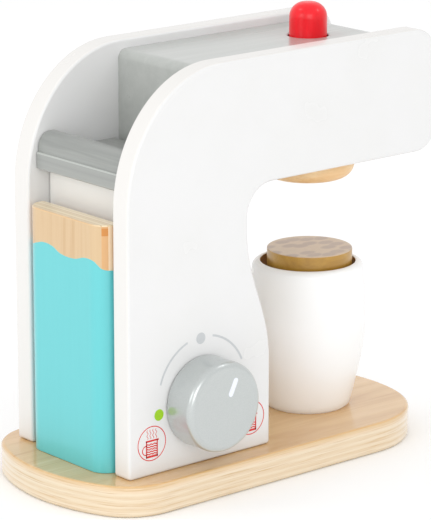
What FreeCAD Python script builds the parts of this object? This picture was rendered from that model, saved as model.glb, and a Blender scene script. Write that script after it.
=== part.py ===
import FreeCAD, Part
import math
import os

# Toy coffee maker of wood: two white side boards on a plywood base hold a white column block and a
# grey arm block. A knob turns on one side board, a sprung button sits in the arm over the brew head,
# a lid hinges behind the arm, a loose water tank stands behind the column, and a cup with a loose
# coffee pad stands under the arm.
#
# All sizes are in millimetres. The pieces are drawn with X from the rear edge of the side boards
# towards the cup, Y across from the middle plane (the knob is on the side of minus Y) and Z from the
# top of the base. On saving, everything moves to the part's own frame, which has its origin under
# the middle of the base board, on the surface that it stands on.

# Base board
BASE_LENGTH = 189.0
BASE_WIDTH = 95.6
BASE_THICKNESS = 13.3
BASE_FRONT_ARC = 70.0
BASE_FRONT_CORNER = 40.0
BASE_REAR_ARC = 77.4
BASE_REAR_CORNER = 24.4
BASE_EDGE_ROUND = 1.6

# Side boards
BOARD_THICKNESS = 9.9
BOARD_GAP = 55.0
BOARD_SETBACK = 18.8
BOARD_HEIGHT = 165.8
FOOT_DEPTH = 75.5
ARM_REACH = 169.2
ARM_UNDERSIDE = 112.8
REAR_CURVE_DEPTH = 49.4
REAR_CURVE_HEIGHT = 55.5
FRONT_CURVE_START = 37.0
WAIST_HEIGHT = 94.4
WAIST_CUT = 12.3
ELBOW_ROUND = 13.5
NOSE_TOP_ROUND = 12.0
NOSE_BOTTOM_ROUND = 10.0
FOOT_ROUND = 1.6
BOARD_EDGE_ROUND = 1.3

# Blocks between the side boards
BLOCK_RECESS = 4.0
ARM_BLOCK_RISE = 4.4
COLUMN_REAR = 11.0
ARM_BLOCK_REAR = 47.8
ARM_BLOCK_REAR_ROUND = 5.0
ARM_BLOCK_NOSE_ROUND = 14.0
ARM_BLOCK_CHIN_ROUND = 6.0
BLOCK_EDGE_ROUND = 0.8

# Pad compartment in the column, under the lid
WELL_WALL = 5.5
WELL_LENGTH = 26.0
WELL_WIDTH = 40.0
WELL_DEPTH = 40.0
WELL_CORNER = 4.0

# Lid with its grip strip and hinge pins
LID_REAR = 4.2
LID_THICKNESS = 7.2
LID_CLEARANCE = 0.3
LID_EDGE_ROUND = 0.8
GRIP_SETBACK = 0.5
GRIP_DEPTH = 12.3
GRIP_HEIGHT = 8.1
GRIP_REAR_ROUND = 6.0
GRIP_FRONT_ROUND = 5.0
PIN_RADIUS = 1.5
PIN_IN_BOARD = 5.0
PIN_IN_LID = 10.0

# Water tank
TANK_REAR = -3.7
TANK_THICKNESS = 9.8
TANK_WIDTH = 50.4
TANK_HEIGHT = 104.2
TANK_REAR_CORNER = 8.0
TANK_FRONT_CORNER = 1.5
TANK_EDGE_ROUND = 0.6

# Brew head and button, on one upright axis
HEAD_AXIS_X = 129.2
HEAD_RADIUS = 19.4
HEAD_UNDERSIDE = 100.5
HEAD_EDGE_ROUND = 3.0
BUTTON_RADIUS = 8.1
BUTTON_RISE = 14.2
BUTTON_CAP_RADIUS = 11.0
BUTTON_SHOULDER = 5.0
BUTTON_HOLE_GAP = 0.7
BUTTON_HOLE_DEPTH = 4.0
COLLAR_LIP = 1.5
COLLAR_THICKNESS = 4.0
COLLAR_CLEARANCE = 0.3
STEM_RADIUS = 5.0
STEM_LENGTH = 14.0
SPRING_RADIUS = 7.2
SPRING_WIRE_RADIUS = 0.5
SPRING_TURNS = 5
SPRING_WIRE_SIDES = 6
SPRING_END_GAP = 0.05

# Knob on the side board
KNOB_X = 38.2
KNOB_Z = 27.1
KNOB_RADIUS = 19.0
KNOB_THICKNESS = 15.0
KNOB_FRONT_ROUND = 2.75
KNOB_BACK_ROUND = 0.6
KNOB_SOCKET_DEPTH = 10.0
AXLE_RADIUS = 4.0
AXLE_TAIL = 7.0
AXLE_FIT = 0.08
WASHER_THICKNESS = 0.4
WASHER_RADIUS = 9.0
CLIP_RADIUS = 8.5
CLIP_THICKNESS = 1.2
CLIP_CLEARANCE = 0.3
POCKET_RADIUS = 11.0
POCKET_DEPTH = 9.0

# Cup and coffee pad
CUP_X = 125.5
CUP_Y = -5.0
CUP_HEIGHT = 64.6
CUP_FOOT_RADIUS = 18.2
CUP_BELLY_RADIUS = 25.45
CUP_BELLY_HEIGHT = 41.0
CUP_RIM_RADIUS = 24.2
CUP_MOUTH_RADIUS = 20.5
CUP_RIM_ROUND = 2.6
CUP_MOUTH_ROUND = 0.8
CUP_FOOT_ROUND = 1.2
CUP_SEAT_DEPTH = 4.4
CUP_HOLLOW_RADIUS = 16.5
CUP_FLOOR = 7.0
CUP_FLOOR_ROUND = 4.0
PAD_RADIUS = 18.4
PAD_THICKNESS = 10.0
PAD_EDGE_ROUND = 0.6
PAD_SHIFT_X = 0.6
PAD_SHIFT_Y = -0.5

# Dowels and screws
DOWEL_RADIUS = 4.0
DOWEL_IN_BOARD = 6.4
DOWEL_IN_BLOCK = 13.0
BASE_DOWEL_RADIUS = 3.0
BASE_DOWEL_DEPTH = 8.0
DOWEL_FIT = 0.05
COLUMN_DOWELS_X = (20.0, 60.0)
COLUMN_DOWELS_Z = (12.0, 62.0)
ARM_DOWELS_X = (66.0, 153.0)
ARM_DOWELS_Z = 139.0
BASE_DOWELS_X = (14.0, 62.0)
BASE_SCREWS_X = (26.0, 56.0)
BASE_SCREW_RADIUS = 2.0
BASE_SCREW_HEAD = 4.0
BASE_SCREW_HOLD = 20.0
HEAD_SCREW_OFFSET = 13.0
HEAD_SCREW_RADIUS = 1.6
HEAD_SCREW_HEAD = 3.2
HEAD_SCREW_HOLD = 14.0
SCREW_SINK = 0.4
SCREW_FIT = 0.05

# Sizes that follow
HALF_GAP = BOARD_GAP / 2
OUTER_FACE = HALF_GAP + BOARD_THICKNESS
BOARD_MIDDLE = HALF_GAP + BOARD_THICKNESS / 2
WAIST_X = FOOT_DEPTH - WAIST_CUT
BLOCK_TOP = BOARD_HEIGHT - BLOCK_RECESS
BLOCK_SEAM = ARM_UNDERSIDE + ARM_BLOCK_RISE
BLOCK_END = ARM_REACH - BLOCK_RECESS
LID_UNDERSIDE = BLOCK_SEAM + LID_CLEARANCE
LID_TOP = LID_UNDERSIDE + LID_THICKNESS
LID_NOSE = LID_THICKNESS / 2
LID_AXIS_X = ARM_BLOCK_REAR - LID_CLEARANCE - LID_NOSE
LID_AXIS_Z = LID_UNDERSIDE + LID_NOSE
LID_HALF_WIDTH = HALF_GAP - LID_CLEARANCE
BUTTON_HOLE_RADIUS = BUTTON_RADIUS + BUTTON_HOLE_GAP
COLLAR_RADIUS = BUTTON_RADIUS + COLLAR_LIP
CHAMBER_RADIUS = COLLAR_RADIUS + COLLAR_CLEARANCE
CHAMBER_TOP = BLOCK_TOP - BUTTON_HOLE_DEPTH
COLLAR_TOP = CHAMBER_TOP - COLLAR_CLEARANCE
COLLAR_BOTTOM = COLLAR_TOP - COLLAR_THICKNESS
KNOB_BACK = -(OUTER_FACE + WASHER_THICKNESS)
KNOB_FRONT = KNOB_BACK - KNOB_THICKNESS
CUP_SEAT = CUP_HEIGHT - CUP_SEAT_DEPTH
TOUCH = 1e-6

UP = FreeCAD.Vector(0, 0, 1)
ACROSS = FreeCAD.Vector(0, 1, 0)
ALONG = FreeCAD.Vector(1, 0, 0)
TO_PART_FRAME = FreeCAD.Vector(BOARD_SETBACK - BASE_LENGTH / 2, 0, BASE_THICKNESS)


def point(x, y, z):
    return FreeCAD.Vector(x, y, z)


def upright(x, z):
    """A point of an outline that is drawn in the middle plane."""
    return FreeCAD.Vector(x, 0, z)


def level(x, y):
    """A point of an outline that is drawn on the top of the base."""
    return FreeCAD.Vector(x, y, 0)


def round_corner(before, at, after, radius):
    """The arc that rounds a corner between two straight runs."""
    back = (before - at).normalize()
    ahead = (after - at).normalize()
    half_turn = back.getAngle(ahead) / 2
    run = radius / math.tan(half_turn)
    inward = (back + ahead).normalize()
    middle = at + inward * (radius / math.sin(half_turn) - radius)
    return Part.Arc(at + back * run, middle, at + ahead * run).toShape()


def smooth_arcs(start, start_way, end, end_way):
    """Two arcs that leave one point and reach another in the given directions."""
    chord = end - start
    square = 2 * (start_way * end_way - 1)
    linear = 2 * chord * (start_way + end_way)
    constant = chord * chord
    if abs(square) < TOUCH:
        reach = constant / linear
    else:
        reach = (linear - math.sqrt(linear ** 2 - 4 * square * constant)) / (2 * square)
    first_pole = start + start_way * reach
    last_pole = end - end_way * reach
    join = (first_pole + last_pole) / 2
    arcs = []
    for leaves, pole, arrives in ((start, first_pole, join), (join, last_pole, end)):
        weight = (arrives - leaves).Length / 2 / reach
        middle = (leaves + pole * 2 * weight + arrives) / (2 + 2 * weight)
        arcs.append(Part.Arc(leaves, middle, arrives).toShape())
    return arcs


def ends(piece):
    """First and last point of a curve, or a sharp corner's own point twice."""
    if isinstance(piece, FreeCAD.Vector):
        return piece, piece
    return piece.valueAt(piece.FirstParameter), piece.valueAt(piece.LastParameter)


def closed_face(pieces):
    """The face inside curves and sharp corners that straight runs join, in order."""
    edges = []
    for number, piece in enumerate(pieces):
        if not isinstance(piece, FreeCAD.Vector):
            edges.append(piece)
        leaves = ends(piece)[1]
        arrives = ends(pieces[(number + 1) % len(pieces)])[0]
        if leaves.distanceToPoint(arrives) > TOUCH:
            edges.append(Part.LineSegment(leaves, arrives).toShape())
    return Part.Face(Part.Wire(edges))


def rounded_face(corners):
    """The face inside a polygon whose corners are given with their radii."""
    pieces = []
    for number, (at, radius) in enumerate(corners):
        before = corners[number - 1][0]
        after = corners[(number + 1) % len(corners)][0]
        pieces.append(round_corner(before, at, after, radius) if radius > 0 else at)
    return closed_face(pieces)


def slab(face, near_y, far_y):
    """A board or block: an upright outline carried from one Y to another."""
    board = face.extrude(ACROSS * (far_y - near_y))
    board.translate(ACROSS * near_y)
    return board


def turned(corners, x, y):
    """A piece turned on a lathe: its half outline spun about an upright axis."""
    solid = rounded_face(corners).revolve(point(0, 0, 0), UP, 360)
    solid.translate(level(x, y))
    return solid


def soften(solid, radius, wanted):
    """Rounds the edges that the test picks."""
    return solid.makeFillet(radius, [edge for edge in solid.Edges if wanted(edge.BoundBox)])


def flat_at_y(*values):
    return lambda box: any(max(abs(box.YMin - y), abs(box.YMax - y)) < TOUCH for y in values)


def flat_at_z(*values):
    return lambda box: any(max(abs(box.ZMin - z), abs(box.ZMax - z)) < TOUCH for z in values)


def across_rod(radius, x, z, start, end):
    """A round rod or hole along Y."""
    low = min(start, end)
    return Part.makeCylinder(radius, abs(end - start), point(x, low, z), ACROSS)


def upright_rod(radius, x, y, bottom, top):
    return Part.makeCylinder(radius, top - bottom, point(x, y, bottom), UP)


def countersunk_screw(shank, head, x, y, bottom, top):
    """A wood screw driven upwards, with its head's flat face at the bottom."""
    cone = Part.makeCone(head, shank, head - shank, point(x, y, bottom), UP)
    return cone.fuse(upright_rod(shank, x, y, bottom, top)).removeSplitter()


def base_end(end_x, toward, arc_radius, corner_radius):
    """One end of the base, a flat arc between two round corners; toward is 1 in front, -1 behind."""
    corner_y = BASE_WIDTH / 2 - corner_radius
    corner_x = math.sqrt((arc_radius - corner_radius) ** 2 - corner_y ** 2)
    lean = math.atan2(corner_y, corner_x)
    arc_x = end_x - toward * arc_radius
    corner_x = arc_x + toward * corner_x

    def arc(x, y, radius, start, end):
        stops = [level(x + toward * radius * math.cos(turn), y + radius * math.sin(turn))
                 for turn in (start, (start + end) / 2, end)]
        return Part.Arc(*stops).toShape()

    first = -toward
    return [
        arc(corner_x, first * corner_y, corner_radius, first * math.pi / 2, first * lean),
        arc(arc_x, 0, arc_radius, first * lean, -first * lean),
        arc(corner_x, -first * corner_y, corner_radius, -first * lean, -first * math.pi / 2),
    ]


def base_board():
    front = base_end(BASE_LENGTH - BOARD_SETBACK, 1, BASE_FRONT_ARC, BASE_FRONT_CORNER)
    rear = base_end(-BOARD_SETBACK, -1, BASE_REAR_ARC, BASE_REAR_CORNER)
    board = closed_face(front + rear).extrude(UP * -BASE_THICKNESS)
    board = soften(board, BASE_EDGE_ROUND, flat_at_z(0, -BASE_THICKNESS))
    for side in (-1, 1):
        for x in BASE_DOWELS_X:
            hole_radius = BASE_DOWEL_RADIUS + DOWEL_FIT
            board = board.cut(upright_rod(hole_radius, x, side * BOARD_MIDDLE, -BASE_DOWEL_DEPTH, 0))
    for x in BASE_SCREWS_X:
        board = board.cut(countersunk_screw(BASE_SCREW_RADIUS + SCREW_FIT, BASE_SCREW_HEAD + SCREW_FIT,
                                            x, 0, SCREW_SINK - BASE_THICKNESS, 0))
        board = board.cut(upright_rod(BASE_SCREW_HEAD + SCREW_FIT, x, 0,
                                      -BASE_THICKNESS, SCREW_SINK - BASE_THICKNESS))
    return board


def front_curve(setback):
    """The S of the column's front edge, from the foot up to the waist."""
    return smooth_arcs(upright(FOOT_DEPTH - setback, FRONT_CURVE_START), UP,
                       upright(WAIST_X - setback, WAIST_HEIGHT), UP)


def rear_curve():
    """The large quarter curve from the rear edge over to the top edge."""
    return smooth_arcs(upright(REAR_CURVE_DEPTH, BOARD_HEIGHT), -ALONG,
                       upright(0, BOARD_HEIGHT - REAR_CURVE_HEIGHT), -UP)


def board_outline():
    foot_rear = upright(0, 0)
    foot_front = upright(FOOT_DEPTH, 0)
    elbow = upright(WAIST_X, ARM_UNDERSIDE)
    chin = upright(ARM_REACH, ARM_UNDERSIDE)
    brow = upright(ARM_REACH, BOARD_HEIGHT)
    top_rear = upright(REAR_CURVE_DEPTH, BOARD_HEIGHT)
    curve_end = upright(0, BOARD_HEIGHT - REAR_CURVE_HEIGHT)
    return closed_face([
        round_corner(curve_end, foot_rear, foot_front, FOOT_ROUND),
        round_corner(foot_rear, foot_front, upright(FOOT_DEPTH, FRONT_CURVE_START), FOOT_ROUND),
        *front_curve(0),
        round_corner(upright(WAIST_X, WAIST_HEIGHT), elbow, chin, ELBOW_ROUND),
        round_corner(elbow, chin, brow, NOSE_BOTTOM_ROUND),
        round_corner(chin, brow, top_rear, NOSE_TOP_ROUND),
        *rear_curve(),
    ])


def side_board(side):
    """A side board with blind holes in its inner face and foot; side is -1 at the knob."""
    inner = side * HALF_GAP
    outer = side * OUTER_FACE
    board = slab(board_outline(), inner, outer)
    board = soften(board, BOARD_EDGE_ROUND, flat_at_y(inner, outer))
    depth = side * (HALF_GAP + DOWEL_IN_BOARD + DOWEL_FIT)
    for x, z in column_dowel_places() + arm_dowel_places():
        board = board.cut(across_rod(DOWEL_RADIUS + DOWEL_FIT, x, z, inner, depth))
    for x in BASE_DOWELS_X:
        board = board.cut(upright_rod(BASE_DOWEL_RADIUS + DOWEL_FIT, x, side * BOARD_MIDDLE,
                                      0, BASE_DOWEL_DEPTH))
    pin_depth = side * (HALF_GAP + PIN_IN_BOARD + DOWEL_FIT)
    board = board.cut(across_rod(PIN_RADIUS + DOWEL_FIT, LID_AXIS_X, LID_AXIS_Z, inner, pin_depth))
    if side < 0:
        board = board.cut(across_rod(AXLE_RADIUS + AXLE_FIT, KNOB_X, KNOB_Z, inner, outer))
    return board


def column_dowel_places():
    return [(x, z) for x in COLUMN_DOWELS_X for z in COLUMN_DOWELS_Z]


def arm_dowel_places():
    return [(x, ARM_DOWELS_Z) for x in ARM_DOWELS_X]


def drill_for_dowels(block, places):
    """Blind dowel holes in both side faces of a block."""
    for side in (-1, 1):
        depth = side * (HALF_GAP - DOWEL_IN_BLOCK - DOWEL_FIT)
        for x, z in places:
            block = block.cut(across_rod(DOWEL_RADIUS + DOWEL_FIT, x, z, side * HALF_GAP, depth))
    return block


def column_block():
    """The white block, with the pad compartment in its top and the clip's pocket in its side."""
    outline = closed_face([
        upright(COLUMN_REAR, 0),
        upright(FOOT_DEPTH - BLOCK_RECESS, 0),
        *front_curve(BLOCK_RECESS),
        upright(WAIST_X - BLOCK_RECESS, BLOCK_SEAM),
        upright(COLUMN_REAR, BLOCK_SEAM),
    ])
    block = slab(outline, -HALF_GAP, HALF_GAP)
    well_rear = COLUMN_REAR + WELL_WALL
    well = Part.makeBox(WELL_LENGTH, WELL_WIDTH, WELL_DEPTH,
                        point(well_rear, -WELL_WIDTH / 2, BLOCK_SEAM - WELL_DEPTH))
    well = well.makeFillet(WELL_CORNER, [edge for edge in well.Edges if edge.BoundBox.ZLength > WELL_CORNER])
    block = block.cut(well)
    block = block.cut(across_rod(POCKET_RADIUS, KNOB_X, KNOB_Z, -HALF_GAP, POCKET_DEPTH - HALF_GAP))
    for x in BASE_SCREWS_X:
        block = block.cut(upright_rod(BASE_SCREW_RADIUS + SCREW_FIT, x, 0, 0, BASE_SCREW_HOLD))
    return drill_for_dowels(block, column_dowel_places())


def arm_block():
    """The grey block of the arm, bored from below for the button and its spring."""
    rear = ARM_BLOCK_REAR
    outline = rounded_face([
        (upright(rear, BLOCK_SEAM), 0),
        (upright(BLOCK_END, BLOCK_SEAM), ARM_BLOCK_CHIN_ROUND),
        (upright(BLOCK_END, BLOCK_TOP), ARM_BLOCK_NOSE_ROUND),
        (upright(rear, BLOCK_TOP), ARM_BLOCK_REAR_ROUND),
    ])
    block = slab(outline, -HALF_GAP, HALF_GAP)
    block = block.cut(upright_rod(CHAMBER_RADIUS, HEAD_AXIS_X, 0, BLOCK_SEAM, CHAMBER_TOP))
    block = block.cut(upright_rod(BUTTON_HOLE_RADIUS, HEAD_AXIS_X, 0, CHAMBER_TOP, BLOCK_TOP))
    for side in (-1, 1):
        block = block.cut(upright_rod(HEAD_SCREW_RADIUS + SCREW_FIT, HEAD_AXIS_X,
                                      side * HEAD_SCREW_OFFSET, BLOCK_SEAM, BLOCK_SEAM + HEAD_SCREW_HOLD))
    return drill_for_dowels(block, arm_dowel_places())


def lid_board():
    """The lid's board, with a half-round front edge about its hinge axis."""
    nose = Part.Arc(upright(LID_AXIS_X, LID_UNDERSIDE),
                    upright(LID_AXIS_X + LID_NOSE, LID_AXIS_Z),
                    upright(LID_AXIS_X, LID_TOP)).toShape()
    below = upright(LID_REAR, LID_UNDERSIDE)
    above = upright(LID_REAR, LID_TOP)
    outline = closed_face([
        round_corner(above, below, upright(LID_AXIS_X, LID_UNDERSIDE), LID_EDGE_ROUND),
        nose,
        round_corner(upright(LID_AXIS_X, LID_TOP), above, below, LID_EDGE_ROUND),
    ])
    board = slab(outline, -LID_HALF_WIDTH, LID_HALF_WIDTH)
    for side in (-1, 1):
        depth = side * (HALF_GAP - PIN_IN_LID - LID_CLEARANCE)
        board = board.cut(across_rod(PIN_RADIUS + DOWEL_FIT, LID_AXIS_X, LID_AXIS_Z,
                                     side * LID_HALF_WIDTH, depth))
    return board


def lid_grip():
    """The rounded strip along the rear of the lid, to lift it by."""
    rear = LID_REAR + GRIP_SETBACK
    front = rear + GRIP_DEPTH
    top = LID_TOP + GRIP_HEIGHT
    outline = rounded_face([
        (upright(rear, LID_TOP), 0),
        (upright(front, LID_TOP), 0),
        (upright(front, top), GRIP_FRONT_ROUND),
        (upright(rear, top), GRIP_REAR_ROUND),
    ])
    return slab(outline, -LID_HALF_WIDTH, LID_HALF_WIDTH)


def lid_pins():
    pins = []
    for side in (-1, 1):
        outer = side * (HALF_GAP + PIN_IN_BOARD)
        inner = side * (HALF_GAP - PIN_IN_LID)
        pins.append(across_rod(PIN_RADIUS, LID_AXIS_X, LID_AXIS_Z, outer, inner))
    return Part.makeCompound(pins)


def water_tank():
    """The loose block that stands behind the column, with large rear corners."""
    front = TANK_REAR + TANK_THICKNESS
    half = TANK_WIDTH / 2
    outline = rounded_face([
        (level(TANK_REAR, -half), TANK_REAR_CORNER),
        (level(front, -half), TANK_FRONT_CORNER),
        (level(front, half), TANK_FRONT_CORNER),
        (level(TANK_REAR, half), TANK_REAR_CORNER),
    ])
    block = outline.extrude(UP * TANK_HEIGHT)
    return soften(block, TANK_EDGE_ROUND, flat_at_z(0, TANK_HEIGHT))


def brew_head():
    """The turned disc under the arm, which closes the spring's chamber."""
    disc = turned([
        (upright(0, HEAD_UNDERSIDE), 0),
        (upright(HEAD_RADIUS, HEAD_UNDERSIDE), HEAD_EDGE_ROUND),
        (upright(HEAD_RADIUS, BLOCK_SEAM), 0),
        (upright(0, BLOCK_SEAM), 0),
    ], HEAD_AXIS_X, 0)
    for side in (-1, 1):
        y = side * HEAD_SCREW_OFFSET
        sunk = HEAD_UNDERSIDE + SCREW_SINK
        disc = disc.cut(countersunk_screw(HEAD_SCREW_RADIUS + SCREW_FIT, HEAD_SCREW_HEAD + SCREW_FIT,
                                          HEAD_AXIS_X, y, sunk, BLOCK_SEAM))
        disc = disc.cut(upright_rod(HEAD_SCREW_HEAD + SCREW_FIT, HEAD_AXIS_X, y, HEAD_UNDERSIDE, sunk))
    return disc


def head_screws():
    screws = []
    for side in (-1, 1):
        screws.append(countersunk_screw(HEAD_SCREW_RADIUS, HEAD_SCREW_HEAD, HEAD_AXIS_X,
                                        side * HEAD_SCREW_OFFSET, HEAD_UNDERSIDE + SCREW_SINK,
                                        BLOCK_SEAM + HEAD_SCREW_HOLD - SCREW_FIT))
    return Part.makeCompound(screws)


def button():
    """The turned plunger: domed end, collar that keeps it in, and stem inside the spring."""
    top = BLOCK_TOP + BUTTON_RISE
    cap_middle = top - BUTTON_CAP_RADIUS
    shoulder_x = BUTTON_RADIUS - BUTTON_SHOULDER
    reach = BUTTON_CAP_RADIUS - BUTTON_SHOULDER
    shoulder_z = cap_middle + math.sqrt(reach ** 2 - shoulder_x ** 2)
    lean = math.atan2(shoulder_z - cap_middle, shoulder_x)
    crown = Part.Arc(upright(0, top),
                     upright(BUTTON_CAP_RADIUS * math.cos((lean + math.pi / 2) / 2),
                             cap_middle + BUTTON_CAP_RADIUS * math.sin((lean + math.pi / 2) / 2)),
                     upright(BUTTON_CAP_RADIUS * math.cos(lean),
                             cap_middle + BUTTON_CAP_RADIUS * math.sin(lean))).toShape()
    shoulder = Part.Arc(upright(BUTTON_CAP_RADIUS * math.cos(lean),
                                cap_middle + BUTTON_CAP_RADIUS * math.sin(lean)),
                        upright(shoulder_x + BUTTON_SHOULDER * math.cos(lean / 2),
                                shoulder_z + BUTTON_SHOULDER * math.sin(lean / 2)),
                        upright(BUTTON_RADIUS, shoulder_z)).toShape()
    stem_end = COLLAR_BOTTOM - STEM_LENGTH
    outline = closed_face([
        crown,
        shoulder,
        upright(BUTTON_RADIUS, COLLAR_TOP),
        upright(COLLAR_RADIUS, COLLAR_TOP),
        upright(COLLAR_RADIUS, COLLAR_BOTTOM),
        upright(STEM_RADIUS, COLLAR_BOTTOM),
        upright(STEM_RADIUS, stem_end),
        upright(0, stem_end),
    ])
    solid = outline.revolve(point(0, 0, 0), UP, 360)
    solid.translate(level(HEAD_AXIS_X, 0))
    return solid


def button_spring():
    """The coil between the brew head and the button's collar, its round wire drawn with flat sides."""
    bottom = BLOCK_SEAM + SPRING_WIRE_RADIUS + SPRING_END_GAP
    rise = (COLLAR_BOTTOM - SPRING_WIRE_RADIUS - SPRING_END_GAP - bottom) / SPRING_TURNS

    def stop(quarter):
        turn = quarter * math.pi / 2
        at = point(SPRING_RADIUS * math.cos(turn), SPRING_RADIUS * math.sin(turn), quarter * rise / 4)
        way = point(-SPRING_RADIUS * math.sin(turn), SPRING_RADIUS * math.cos(turn), rise / (2 * math.pi))
        return at, way.normalize()

    arcs = []
    for quarter in range(4 * SPRING_TURNS):
        arcs += smooth_arcs(*stop(quarter), *stop(quarter + 1))
    at, way = stop(0)
    outward = at * (SPRING_WIRE_RADIUS / SPRING_RADIUS)
    upward = way.cross(outward)
    corners = []
    for number in range(SPRING_WIRE_SIDES + 1):
        turn = 2 * math.pi * number / SPRING_WIRE_SIDES
        corners.append(at + outward * math.cos(turn) + upward * math.sin(turn))
    coil = Part.Wire(arcs).makePipeShell([Part.makePolygon(corners)], True, False)
    coil.translate(point(HEAD_AXIS_X, 0, bottom))
    return coil


def spun_across(corners, x, z):
    """A turned piece whose axis lies along Y; its outline gives radius and Y."""
    solid = rounded_face(corners).revolve(point(0, 0, 0), ACROSS, 360)
    solid.translate(upright(x, z))
    return solid


def knob():
    disc = spun_across([
        (level(0, KNOB_BACK), 0),
        (level(KNOB_RADIUS, KNOB_BACK), KNOB_BACK_ROUND),
        (level(KNOB_RADIUS, KNOB_FRONT), KNOB_FRONT_ROUND),
        (level(0, KNOB_FRONT), 0),
    ], KNOB_X, KNOB_Z)
    return disc.cut(across_rod(AXLE_RADIUS + DOWEL_FIT, KNOB_X, KNOB_Z,
                               KNOB_BACK, KNOB_BACK - KNOB_SOCKET_DEPTH))


def knob_axle():
    head = KNOB_BACK - KNOB_SOCKET_DEPTH + DOWEL_FIT
    return across_rod(AXLE_RADIUS, KNOB_X, KNOB_Z, head, AXLE_TAIL - HALF_GAP)


def knob_washer():
    ring = across_rod(WASHER_RADIUS, KNOB_X, KNOB_Z, -OUTER_FACE, KNOB_BACK)
    return ring.cut(across_rod(AXLE_RADIUS + AXLE_FIT, KNOB_X, KNOB_Z, -OUTER_FACE, KNOB_BACK))


def axle_clip():
    start = CLIP_CLEARANCE - HALF_GAP
    ring = across_rod(CLIP_RADIUS, KNOB_X, KNOB_Z, start, start + CLIP_THICKNESS)
    return ring.cut(across_rod(AXLE_RADIUS, KNOB_X, KNOB_Z, start, start + CLIP_THICKNESS))


def side_arc(low, widest, high):
    """A barrel side: an arc that stands upright at its widest point."""
    def middle_of(end):
        across = widest.x - end.x
        along = end.z - widest.z
        radius = (across ** 2 + along ** 2) / (2 * across)
        turn = math.atan2(along, radius - across) / 2
        return upright(widest.x - radius + radius * math.cos(turn), widest.z + radius * math.sin(turn))
    lower = Part.Arc(low, middle_of(low), widest).toShape()
    upper = Part.Arc(widest, middle_of(high), high).toShape()
    return lower, upper


def cup():
    """The turned barrel: rounded rim, a seat for the pad under it, and the hollow below."""
    foot = upright(CUP_FOOT_RADIUS, 0)
    above_foot = upright(CUP_FOOT_RADIUS + CUP_FOOT_ROUND / 2, CUP_FOOT_ROUND)
    belly = upright(CUP_BELLY_RADIUS, CUP_BELLY_HEIGHT)
    rim = upright(CUP_RIM_RADIUS, CUP_HEIGHT - CUP_RIM_ROUND)
    rim_corner = upright(CUP_RIM_RADIUS, CUP_HEIGHT)
    mouth = upright(CUP_MOUTH_RADIUS, CUP_HEIGHT)
    seat_out = upright(CUP_MOUTH_RADIUS, CUP_SEAT)
    seat_in = upright(CUP_HOLLOW_RADIUS, CUP_SEAT)
    floor_out = upright(CUP_HOLLOW_RADIUS, CUP_FLOOR)
    floor_in = upright(0, CUP_FLOOR)
    lower, upper = side_arc(above_foot, belly, rim)
    outline = closed_face([
        upright(0, 0),
        upright(CUP_FOOT_RADIUS - CUP_FOOT_ROUND / 2, 0),
        lower,
        upper,
        round_corner(rim, rim_corner, mouth, CUP_RIM_ROUND),
        round_corner(rim_corner, mouth, seat_out, CUP_MOUTH_ROUND),
        seat_out,
        seat_in,
        round_corner(seat_in, floor_out, floor_in, CUP_FLOOR_ROUND),
        floor_in,
    ])
    solid = outline.revolve(point(0, 0, 0), UP, 360)
    solid.translate(level(CUP_X, CUP_Y))
    return solid


def coffee_pad():
    """The loose disc that lies on the cup's seat, a little off its middle."""
    top = CUP_SEAT + PAD_THICKNESS
    return turned([
        (upright(0, CUP_SEAT), 0),
        (upright(PAD_RADIUS, CUP_SEAT), PAD_EDGE_ROUND),
        (upright(PAD_RADIUS, top), PAD_EDGE_ROUND),
        (upright(0, top), 0),
    ], CUP_X + PAD_SHIFT_X, CUP_Y + PAD_SHIFT_Y)


def side_dowels(places):
    rods = []
    for side in (-1, 1):
        outer = side * (HALF_GAP + DOWEL_IN_BOARD)
        inner = side * (HALF_GAP - DOWEL_IN_BLOCK)
        for x, z in places:
            rods.append(across_rod(DOWEL_RADIUS, x, z, outer, inner))
    return Part.makeCompound(rods)


def base_dowels():
    reach = BASE_DOWEL_DEPTH - DOWEL_FIT
    rods = []
    for side in (-1, 1):
        for x in BASE_DOWELS_X:
            rods.append(upright_rod(BASE_DOWEL_RADIUS, x, side * BOARD_MIDDLE, -reach, reach))
    return Part.makeCompound(rods)


def base_screws():
    screws = []
    for x in BASE_SCREWS_X:
        screws.append(countersunk_screw(BASE_SCREW_RADIUS, BASE_SCREW_HEAD, x, 0,
                                        SCREW_SINK - BASE_THICKNESS, BASE_SCREW_HOLD - SCREW_FIT))
    return Part.makeCompound(screws)


def save(name, shape):
    placed = shape.copy()
    placed.translate(TO_PART_FRAME)
    placed.exportStep("parts/" + name + ".step")


os.makedirs("parts", exist_ok=True)
save("base_board", base_board())
save("knob_side_panel", side_board(-1))
save("plain_side_panel", side_board(1))
save("column_block", column_block())
save("arm_block", arm_block())
save("lid_board", lid_board())
save("lid_grip", lid_grip())
save("lid_pins", lid_pins())
save("water_tank", water_tank())
save("brew_head", brew_head())
save("head_screws", head_screws())
save("button", button())
save("button_spring", button_spring())
save("knob", knob())
save("knob_axle", knob_axle())
save("knob_washer", knob_washer())
save("axle_clip", axle_clip())
save("cup", cup())
save("coffee_pad", coffee_pad())
save("column_dowels", side_dowels(column_dowel_places()))
save("arm_dowels", side_dowels(arm_dowel_places()))
save("base_dowels", base_dowels())
save("base_screws", base_screws())
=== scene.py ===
import math
import bmesh
import bpy
from mathutils import Matrix, Vector
from mathutils.geometry import interpolate_bezier


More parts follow.
